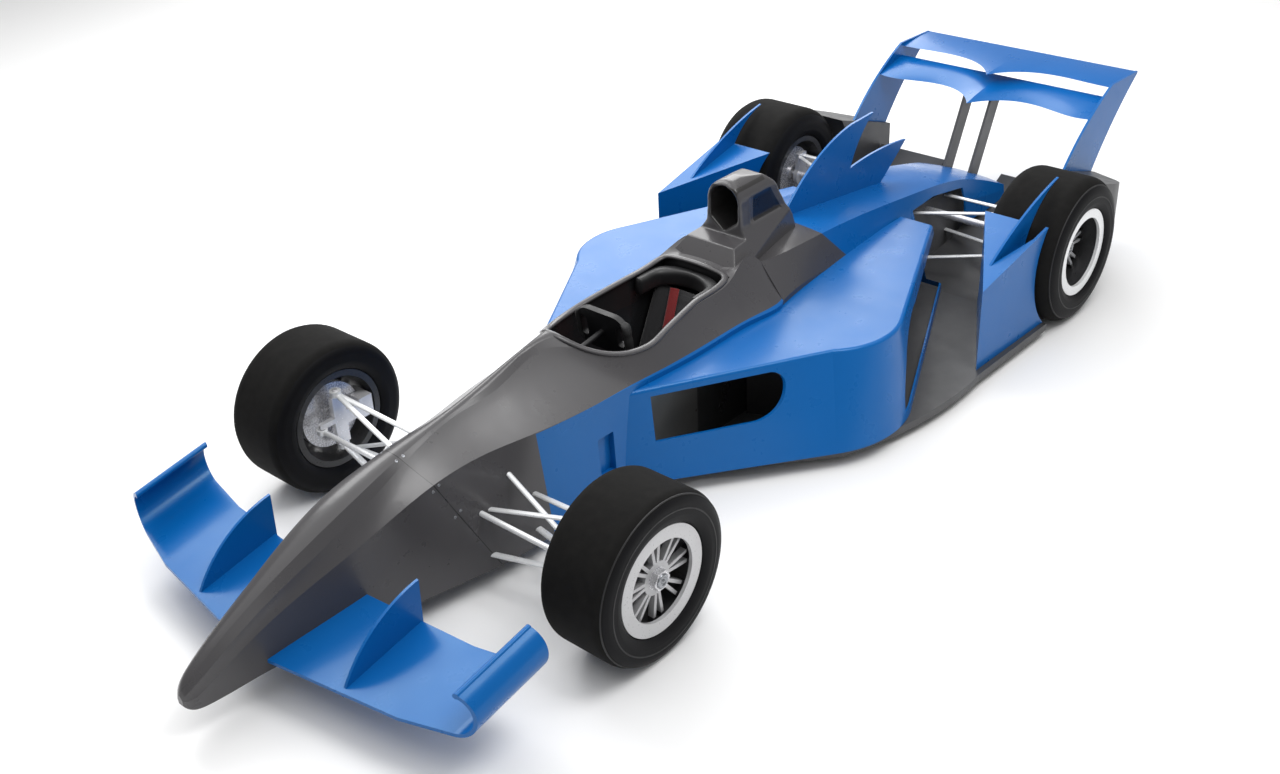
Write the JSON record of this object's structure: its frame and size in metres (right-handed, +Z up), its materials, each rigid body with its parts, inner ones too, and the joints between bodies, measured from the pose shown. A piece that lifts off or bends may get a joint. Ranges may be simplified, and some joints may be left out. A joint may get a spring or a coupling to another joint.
{
  "type": "open wheel racing car",
  "caption": "Single seat open wheel racing car with winged nose, sidepods, airbox, finned engine cover, twin element rear wing, steered front wheels and slick tyres.",
  "frame": {"origin": "on the ground, midway between nose tip and wing tail, on the centre plane", "axes": "+X forward, +Y to the car's left, +Z up"},
  "size_m": [5.538, 1.99, 0.968],
  "materials": {
    "body_blue": "gloss",
    "body_grey": "satin",
    "floor_grey": "satin",
    "tyre": "matte",
    "rim_grey": "satin",
    "rim_white": "satin",
    "arm_white": "satin",
    "pylon_grey": "satin",
    "steel": "satin",
    "radiator": "matte",
    "casting": "matte",
    "seat_black": "matte",
    "control_black": "matte"
  },
  "bodies": {
    "chassis": {"nose_cone": "body_grey", "survival_cell": "body_grey", "roll_hoop": "body_grey", "front_wing_left": "body_blue", "front_wing_right": "body_blue", "front_wing_fins": "body_blue", "engine_cover": "body_blue", "dorsal_fin": "body_blue", "sidepod_left": "body_blue", "sidepod_right": "body_blue", "rear_pod_left": "body_blue", "rear_pod_right": "body_blue", "rear_bumper_left": "floor_grey", "rear_bumper_right": "floor_grey", "floor": "floor_grey", "rear_wing_main": "body_blue", "rear_wing_flap": "body_blue", "rear_wing_endplate_left": "body_blue", "rear_wing_endplate_right": "body_blue", "rear_wing_pylons": "pylon_grey", "radiators": "radiator", "engine": "casting", "gearbox": "casting", "seat": "seat_black", "headrest": "seat_black", "front_arms_left": "arm_white", "front_arms_right": "arm_white", "rear_arms_left": "arm_white", "rear_arms_right": "arm_white", "rear_upright_left": "steel", "rear_upright_right": "steel"},
    "knuckle_left": {"front_upright_left": "steel"},
    "front_wheel_left": {"front_hub_left": "steel", "front_rim_left": "rim_grey", "front_tyre_left": "tyre"},
    "rear_wheel_left": {"rear_hub_left": "steel", "rear_rim_left": "rim_white", "rear_tyre_left": "tyre"},
    "knuckle_right": {"front_upright_right": "steel"},
    "front_wheel_right": {"front_hub_right": "steel", "front_rim_right": "rim_grey", "front_tyre_right": "tyre"},
    "rear_wheel_right": {"rear_hub_right": "steel", "rear_rim_right": "rim_white", "rear_tyre_right": "tyre"},
    "steering_rack": {"steering_rack": "arm_white"},
    "steering_wheel": {"steering_wheel": "control_black"}
  },
  "joints": [
    {"name": "steer_left", "type": "hinge", "parent": "chassis", "child": "knuckle_left", "pos_m": [1.495, 0.715, 0.325], "axis": [0, 0, 1], "range_deg": [-18, 18]},
    {"name": "front_spin_left", "type": "hinge", "parent": "knuckle_left", "child": "front_wheel_left", "pos_m": [1.495, 0.715, 0.325], "axis": [0, 1, 0], "continuous": true},
    {"name": "rear_spin_left", "type": "hinge", "parent": "chassis", "child": "rear_wheel_left", "pos_m": [-1.555, 0.63, 0.347], "axis": [0, 1, 0], "continuous": true},
    {"name": "steer_right", "type": "hinge", "parent": "chassis", "child": "knuckle_right", "pos_m": [1.495, -0.715, 0.325], "axis": [0, 0, 1], "range_deg": [-18, 18]},
    {"name": "front_spin_right", "type": "hinge", "parent": "knuckle_right", "child": "front_wheel_right", "pos_m": [1.495, -0.715, 0.325], "axis": [0, 1, 0], "continuous": true},
    {"name": "rear_spin_right", "type": "hinge", "parent": "chassis", "child": "rear_wheel_right", "pos_m": [-1.555, -0.63, 0.347], "axis": [0, 1, 0], "continuous": true},
    {"name": "rack_slide", "type": "slide", "parent": "chassis", "child": "steering_rack", "axis": [0, 1, 0], "range_m": [-0.0285, 0.0285]},
    {"name": "steering_wheel_turn", "type": "hinge", "parent": "chassis", "child": "steering_wheel", "pos_m": [0.665, 0, 0.605], "axis": [-0.9903, 0, 0.1392], "range_deg": [-110, 110]}
  ],
  "couplings": [
    {"joint": "steer_right", "follows": "steer_left", "ratio": 1},
    {"joint": "rack_slide", "follows": "steer_left", "m_per_rad": 0.09},
    {"joint": "steering_wheel_turn", "follows": "steer_left", "ratio": 6}
  ]
}
